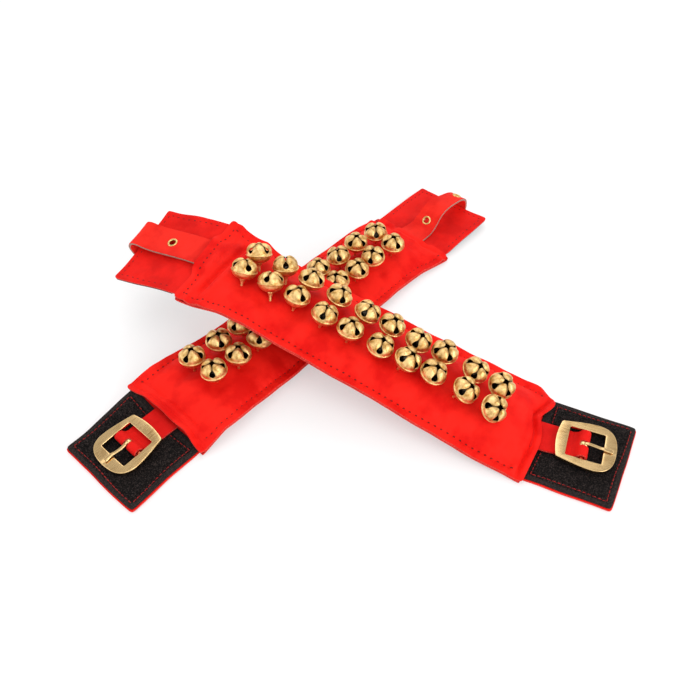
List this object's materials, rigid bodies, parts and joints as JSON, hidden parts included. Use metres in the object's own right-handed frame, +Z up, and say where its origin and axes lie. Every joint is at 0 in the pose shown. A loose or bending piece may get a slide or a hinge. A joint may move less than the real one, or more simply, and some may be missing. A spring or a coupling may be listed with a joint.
{
  "type": "pair of ankle bell bands",
  "caption": "Padded leather ankle bands with two rows of slotted brass bells on shanks, hook and loop tabs, an eyelet strap and a centre-bar buckle, laid crosswise as a pair.",
  "frame": {"origin": "middle of the lower band's underside, on the surface it lies on", "axes": "+Z up; +X along the lower band towards its buckle"},
  "size_m": [0.2841, 0.2815, 0.0544],
  "materials": {
    "red_leather": "soft dyed leather, matt with a slight sheen",
    "lining_leather": "plain dyed lining leather",
    "fastening_tape": "woven nylon hook-and-loop tape",
    "bell_brass": "hammered brass, lightly tarnished",
    "buckle_brass": "brushed pale brass"
  },
  "bodies": {
    "lower_band": {"lower_pad": "red_leather", "lower_backing": "lining_leather"},
    "lower_hook_tab": {"lower_hook_tab": "red_leather", "lower_hook_tape": "fastening_tape"},
    "lower_eyelet_strap": {"lower_eyelet_strap": "red_leather"},
    "lower_loop_tab": {"lower_loop_tab": "red_leather", "lower_loop_tape": "fastening_tape"},
    "lower_buckle_strap": {"lower_buckle_strap": "red_leather"},
    "lower_buckle": {"lower_buckle_frame": "buckle_brass"},
    "lower_prong": {"lower_buckle_prong": "buckle_brass"},
    "upper_band": {"upper_pad": "red_leather", "upper_backing": "lining_leather"},
    "upper_hook_tab": {"upper_hook_tab": "red_leather", "upper_hook_tape": "fastening_tape"},
    "upper_eyelet_strap": {"upper_eyelet_strap": "red_leather"},
    "upper_loop_tab": {"upper_loop_tab": "red_leather", "upper_loop_tape": "fastening_tape"},
    "upper_buckle_strap": {"upper_buckle_strap": "red_leather"},
    "upper_buckle": {"upper_buckle_frame": "buckle_brass"},
    "upper_prong": {"upper_buckle_prong": "buckle_brass"},
    "upper_bell_a01": {"upper_bell_a01": "bell_brass"},
    "upper_bell_a02": {"upper_bell_a02": "bell_brass"},
    "upper_bell_a03": {"upper_bell_a03": "bell_brass"},
    "upper_bell_a04": {"upper_bell_a04": "bell_brass"},
    "upper_bell_a05": {"upper_bell_a05": "bell_brass"},
    "upper_bell_a06": {"upper_bell_a06": "bell_brass"},
    "upper_bell_a07": {"upper_bell_a07": "bell_brass"},
    "upper_bell_a08": {"upper_bell_a08": "bell_brass"},
    "upper_bell_a09": {"upper_bell_a09": "bell_brass"},
    "upper_bell_a10": {"upper_bell_a10": "bell_brass"},
    "upper_bell_b01": {"upper_bell_b01": "bell_brass"},
    "upper_bell_b02": {"upper_bell_b02": "bell_brass"},
    "upper_bell_b03": {"upper_bell_b03": "bell_brass"},
    "upper_bell_b04": {"upper_bell_b04": "bell_brass"},
    "upper_bell_b05": {"upper_bell_b05": "bell_brass"},
    "upper_bell_b06": {"upper_bell_b06": "bell_brass"},
    "upper_bell_b07": {"upper_bell_b07": "bell_brass"},
    "upper_bell_b08": {"upper_bell_b08": "bell_brass"},
    "upper_bell_b09": {"upper_bell_b09": "bell_brass"},
    "upper_bell_b10": {"upper_bell_b10": "bell_brass"},
    "lower_bell_a01": {"lower_bell_a01": "bell_brass"},
    "lower_bell_a02": {"lower_bell_a02": "bell_brass"},
    "lower_bell_a03": {"lower_bell_a03": "bell_brass"},
    "lower_bell_a04": {"lower_bell_a04": "bell_brass"},
    "lower_bell_a05": {"lower_bell_a05": "bell_brass"},
    "lower_bell_a06": {"lower_bell_a06": "bell_brass"},
    "lower_bell_a07": {"lower_bell_a07": "bell_brass"},
    "lower_bell_a08": {"lower_bell_a08": "bell_brass"},
    "lower_bell_a09": {"lower_bell_a09": "bell_brass"},
    "lower_bell_a10": {"lower_bell_a10": "bell_brass"},
    "lower_bell_b01": {"lower_bell_b01": "bell_brass"},
    "lower_bell_b02": {"lower_bell_b02": "bell_brass"},
    "lower_bell_b03": {"lower_bell_b03": "bell_brass"},
    "lower_bell_b04": {"lower_bell_b04": "bell_brass"},
    "lower_bell_b05": {"lower_bell_b05": "bell_brass"},
    "lower_bell_b06": {"lower_bell_b06": "bell_brass"},
    "lower_bell_b07": {"lower_bell_b07": "bell_brass"},
    "lower_bell_b08": {"lower_bell_b08": "bell_brass"},
    "lower_bell_b09": {"lower_bell_b09": "bell_brass"},
    "lower_bell_b10": {"lower_bell_b10": "bell_brass"}
  },
  "joints": [
    {"name": "band_lift_upper", "type": "slide", "parent": "lower_band", "child": "upper_band", "axis": [0, 0, 1], "range_m": [0, 0.09]},
    {"name": "buckle_rock_upper", "type": "hinge", "parent": "upper_buckle_strap", "child": "upper_buckle", "pos_m": [-0.02769, 0.16467, 0.0061], "axis": [-0.9291, -0.3697, 0], "range_deg": [0, 5]},
    {"name": "buckle_strap_lift_upper", "type": "hinge", "parent": "upper_loop_tab", "child": "upper_buckle_strap", "pos_m": [-0.02016, 0.14575, 0.0041], "axis": [0.9291, 0.3697, 0], "range_deg": [0, 45]},
    {"name": "eyelet_strap_lift_upper", "type": "hinge", "parent": "upper_hook_tab", "child": "upper_eyelet_strap", "pos_m": [0.02941, -0.04128, 0.04014], "axis": [-0.9668, -0.2554, 0], "range_deg": [0, 45]},
    {"name": "hook_tab_lift_upper", "type": "hinge", "parent": "upper_band", "child": "upper_hook_tab", "pos_m": [0.02917, -0.04037, 0.03817], "axis": [-0.9668, -0.2554, 0], "range_deg": [0, 30]},
    {"name": "loop_tab_lift_upper", "type": "hinge", "parent": "upper_band", "child": "upper_loop_tab", "pos_m": [-0.01971, 0.14464, 0.0006], "axis": [0.9668, 0.2554, 0], "range_deg": [0, 30]},
    {"name": "prong_swing_upper", "type": "hinge", "parent": "upper_buckle", "child": "upper_prong", "pos_m": [-0.02769, 0.16467, 0.0061], "axis": [0.9291, 0.3697, 0], "range_deg": [0, 95]},
    {"name": "buckle_rock_lower", "type": "hinge", "parent": "lower_buckle_strap", "child": "lower_buckle", "pos_m": [0.11906, 0, 0.0061], "axis": [0, 1, 0], "range_deg": [-4.5, 0]},
    {"name": "buckle_strap_lift_lower", "type": "hinge", "parent": "lower_loop_tab", "child": "lower_buckle_strap", "pos_m": [0.0987, 0, 0.0041], "axis": [0, -1, 0], "range_deg": [0, 45]},
    {"name": "eyelet_strap_lift_lower", "type": "hinge", "parent": "lower_hook_tab", "child": "lower_eyelet_strap", "pos_m": [-0.0981, 0.003, 0.0046], "axis": [0, 1, 0], "range_deg": [0, 45]},
    {"name": "hook_tab_lift_lower", "type": "hinge", "parent": "lower_band", "child": "lower_hook_tab", "pos_m": [-0.0975, 0.003, 0.0025], "axis": [0, 1, 0], "range_deg": [0, 30]},
    {"name": "loop_tab_lift_lower", "type": "hinge", "parent": "lower_band", "child": "lower_loop_tab", "pos_m": [0.0975, 0, 0.0006], "axis": [0, -1, 0], "range_deg": [0, 30]},
    {"name": "prong_swing_lower", "type": "hinge", "parent": "lower_buckle", "child": "lower_prong", "pos_m": [0.11906, 0, 0.0061], "axis": [0, -1, 0], "range_deg": [0, 95]},
    {"name": "turn_upper_bell_a01", "type": "hinge", "parent": "upper_band", "child": "upper_bell_a01", "pos_m": [0.02669, -0.01092, 0.04425], "axis": [-0.2793, 0.1099, 0.9539], "range_deg": [-40, 40]},
    {"name": "turn_upper_bell_a02", "type": "hinge", "parent": "upper_band", "child": "upper_bell_a02", "pos_m": [0.02315, 0.00387, 0.0415], "axis": [-0.2431, 0.1211, 0.9624], "range_deg": [-40, 40]},
    {"name": "turn_upper_bell_a03", "type": "hinge", "parent": "upper_band", "child": "upper_bell_a03", "pos_m": [0.01961, 0.01866, 0.03874], "axis": [-0.2066, 0.1321, 0.9695], "range_deg": [-40, 40]},
    {"name": "turn_upper_bell_a04", "type": "hinge", "parent": "upper_band", "child": "upper_bell_a04", "pos_m": [0.01608, 0.03344, 0.03596], "axis": [-0.1698, 0.1429, 0.9751], "range_deg": [-40, 40]},
    {"name": "turn_upper_bell_a05", "type": "hinge", "parent": "upper_band", "child": "upper_bell_a05", "pos_m": [0.01255, 0.04823, 0.03318], "axis": [-0.1327, 0.1535, 0.9792], "range_deg": [-40, 40]},
    {"name": "turn_upper_bell_a06", "type": "hinge", "parent": "upper_band", "child": "upper_bell_a06", "pos_m": [0.00902, 0.06301, 0.03037], "axis": [-0.0954, 0.1639, 0.9819], "range_deg": [-40, 40]},
    {"name": "turn_upper_bell_a07", "type": "hinge", "parent": "upper_band", "child": "upper_bell_a07", "pos_m": [0.00549, 0.07779, 0.02755], "axis": [-0.058, 0.174, 0.983], "range_deg": [-40, 40]},
    {"name": "turn_upper_bell_a08", "type": "hinge", "parent": "upper_band", "child": "upper_bell_a08", "pos_m": [0.00196, 0.09257, 0.02472], "axis": [-0.0205, 0.1839, 0.9827], "range_deg": [-40, 40]},
    {"name": "turn_upper_bell_a09", "type": "hinge", "parent": "upper_band", "child": "upper_bell_a09", "pos_m": [-0.00157, 0.10734, 0.02188], "axis": [0.017, 0.1934, 0.981], "range_deg": [-40, 40]},
    {"name": "turn_upper_bell_a10", "type": "hinge", "parent": "upper_band", "child": "upper_bell_a10", "pos_m": [-0.00509, 0.12212, 0.01902], "axis": [0.0546, 0.2027, 0.9777], "range_deg": [-40, 40]},
    {"name": "turn_upper_bell_b01", "type": "hinge", "parent": "upper_band", "child": "upper_bell_b01", "pos_m": [0.01238, -0.0147, 0.04425], "axis": [-0.2793, 0.1099, 0.9539], "range_deg": [-40, 40]},
    {"name": "turn_upper_bell_b02", "type": "hinge", "parent": "upper_band", "child": "upper_bell_b02", "pos_m": [0.00884, 0.00009, 0.0415], "axis": [-0.2431, 0.1211, 0.9624], "range_deg": [-40, 40]},
    {"name": "turn_upper_bell_b03", "type": "hinge", "parent": "upper_band", "child": "upper_bell_b03", "pos_m": [0.0053, 0.01488, 0.03874], "axis": [-0.2066, 0.1321, 0.9695], "range_deg": [-40, 40]},
    {"name": "turn_upper_bell_b04", "type": "hinge", "parent": "upper_band", "child": "upper_bell_b04", "pos_m": [0.00177, 0.02966, 0.03596], "axis": [-0.1698, 0.1429, 0.9751], "range_deg": [-40, 40]},
    {"name": "turn_upper_bell_b05", "type": "hinge", "parent": "upper_band", "child": "upper_bell_b05", "pos_m": [-0.00176, 0.04445, 0.03318], "axis": [-0.1327, 0.1535, 0.9792], "range_deg": [-40, 40]},
    {"name": "turn_upper_bell_b06", "type": "hinge", "parent": "upper_band", "child": "upper_bell_b06", "pos_m": [-0.00529, 0.05923, 0.03037], "axis": [-0.0954, 0.1639, 0.9819], "range_deg": [-40, 40]},
    {"name": "turn_upper_bell_b07", "type": "hinge", "parent": "upper_band", "child": "upper_bell_b07", "pos_m": [-0.00882, 0.07401, 0.02755], "axis": [-0.058, 0.174, 0.983], "range_deg": [-40, 40]},
    {"name": "turn_upper_bell_b08", "type": "hinge", "parent": "upper_band", "child": "upper_bell_b08", "pos_m": [-0.01235, 0.08879, 0.02472], "axis": [-0.0205, 0.1839, 0.9827], "range_deg": [-40, 40]},
    {"name": "turn_upper_bell_b09", "type": "hinge", "parent": "upper_band", "child": "upper_bell_b09", "pos_m": [-0.01588, 0.10356, 0.02188], "axis": [0.017, 0.1934, 0.981], "range_deg": [-40, 40]},
    {"name": "turn_upper_bell_b10", "type": "hinge", "parent": "upper_band", "child": "upper_bell_b10", "pos_m": [-0.0194, 0.11833, 0.01902], "axis": [0.0546, 0.2027, 0.9777], "range_deg": [-40, 40]},
    {"name": "turn_lower_bell_a01", "type": "hinge", "parent": "lower_band", "child": "lower_bell_a01", "pos_m": [-0.07, -0.00691, 0.01408], "axis": [0, 0.0523, 0.9986], "range_deg": [-40, 40]},
    {"name": "turn_lower_bell_a02", "type": "hinge", "parent": "lower_band", "child": "lower_bell_a02", "pos_m": [-0.05455, -0.00707, 0.01408], "axis": [0, 0.0349, 0.9994], "range_deg": [-40, 40]},
    {"name": "turn_lower_bell_a03", "type": "hinge", "parent": "lower_band", "child": "lower_bell_a03", "pos_m": [-0.0391, -0.00724, 0.01409], "axis": [0, 0.0175, 0.9998], "range_deg": [-40, 40]},
    {"name": "turn_lower_bell_a04", "type": "hinge", "parent": "lower_band", "child": "lower_bell_a04", "pos_m": [-0.02365, -0.0074, 0.01409], "axis": [0, 0, 1], "range_deg": [-40, 40]},
    {"name": "turn_lower_bell_a05", "type": "hinge", "parent": "lower_band", "child": "lower_bell_a05", "pos_m": [-0.0082, -0.00756, 0.01409], "axis": [0, -0.0175, 0.9998], "range_deg": [-40, 40]},
    {"name": "turn_lower_bell_a06", "type": "hinge", "parent": "lower_band", "child": "lower_bell_a06", "pos_m": [0.00725, -0.00773, 0.01408], "axis": [0, -0.0349, 0.9994], "range_deg": [-40, 40]},
    {"name": "turn_lower_bell_a07", "type": "hinge", "parent": "lower_band", "child": "lower_bell_a07", "pos_m": [0.0227, -0.00789, 0.01408], "axis": [0, -0.0523, 0.9986], "range_deg": [-40, 40]},
    {"name": "turn_lower_bell_a08", "type": "hinge", "parent": "lower_band", "child": "lower_bell_a08", "pos_m": [0.03815, -0.00806, 0.01407], "axis": [0, -0.0698, 0.9976], "range_deg": [-40, 40]},
    {"name": "turn_lower_bell_a09", "type": "hinge", "parent": "lower_band", "child": "lower_bell_a09", "pos_m": [0.0536, -0.00822, 0.01405], "axis": [0, -0.0872, 0.9962], "range_deg": [-40, 40]},
    {"name": "turn_lower_bell_a10", "type": "hinge", "parent": "lower_band", "child": "lower_bell_a10", "pos_m": [0.06905, -0.00838, 0.01404], "axis": [0, -0.1045, 0.9945], "range_deg": [-40, 40]},
    {"name": "turn_lower_bell_b01", "type": "hinge", "parent": "lower_band", "child": "lower_bell_b01", "pos_m": [-0.07, 0.00789, 0.01408], "axis": [0, 0.0523, 0.9986], "range_deg": [-40, 40]},
    {"name": "turn_lower_bell_b02", "type": "hinge", "parent": "lower_band", "child": "lower_bell_b02", "pos_m": [-0.05455, 0.00773, 0.01408], "axis": [0, 0.0349, 0.9994], "range_deg": [-40, 40]},
    {"name": "turn_lower_bell_b03", "type": "hinge", "parent": "lower_band", "child": "lower_bell_b03", "pos_m": [-0.0391, 0.00756, 0.01409], "axis": [0, 0.0175, 0.9998], "range_deg": [-40, 40]},
    {"name": "turn_lower_bell_b04", "type": "hinge", "parent": "lower_band", "child": "lower_bell_b04", "pos_m": [-0.02365, 0.0074, 0.01409], "axis": [0, 0, 1], "range_deg": [-40, 40]},
    {"name": "turn_lower_bell_b05", "type": "hinge", "parent": "lower_band", "child": "lower_bell_b05", "pos_m": [-0.0082, 0.00724, 0.01409], "axis": [0, -0.0175, 0.9998], "range_deg": [-40, 40]},
    {"name": "turn_lower_bell_b06", "type": "hinge", "parent": "lower_band", "child": "lower_bell_b06", "pos_m": [0.00725, 0.00707, 0.01408], "axis": [0, -0.0349, 0.9994], "range_deg": [-40, 40]},
    {"name": "turn_lower_bell_b07", "type": "hinge", "parent": "lower_band", "child": "lower_bell_b07", "pos_m": [0.0227, 0.00691, 0.01408], "axis": [0, -0.0523, 0.9986], "range_deg": [-40, 40]},
    {"name": "turn_lower_bell_b08", "type": "hinge", "parent": "lower_band", "child": "lower_bell_b08", "pos_m": [0.03815, 0.00674, 0.01407], "axis": [0, -0.0698, 0.9976], "range_deg": [-40, 40]},
    {"name": "turn_lower_bell_b09", "type": "hinge", "parent": "lower_band", "child": "lower_bell_b09", "pos_m": [0.0536, 0.00658, 0.01405], "axis": [0, -0.0872, 0.9962], "range_deg": [-40, 40]},
    {"name": "turn_lower_bell_b10", "type": "hinge", "parent": "lower_band", "child": "lower_bell_b10", "pos_m": [0.06905, 0.00642, 0.01404], "axis": [0, -0.1045, 0.9945], "range_deg": [-40, 40]}
  ]
}
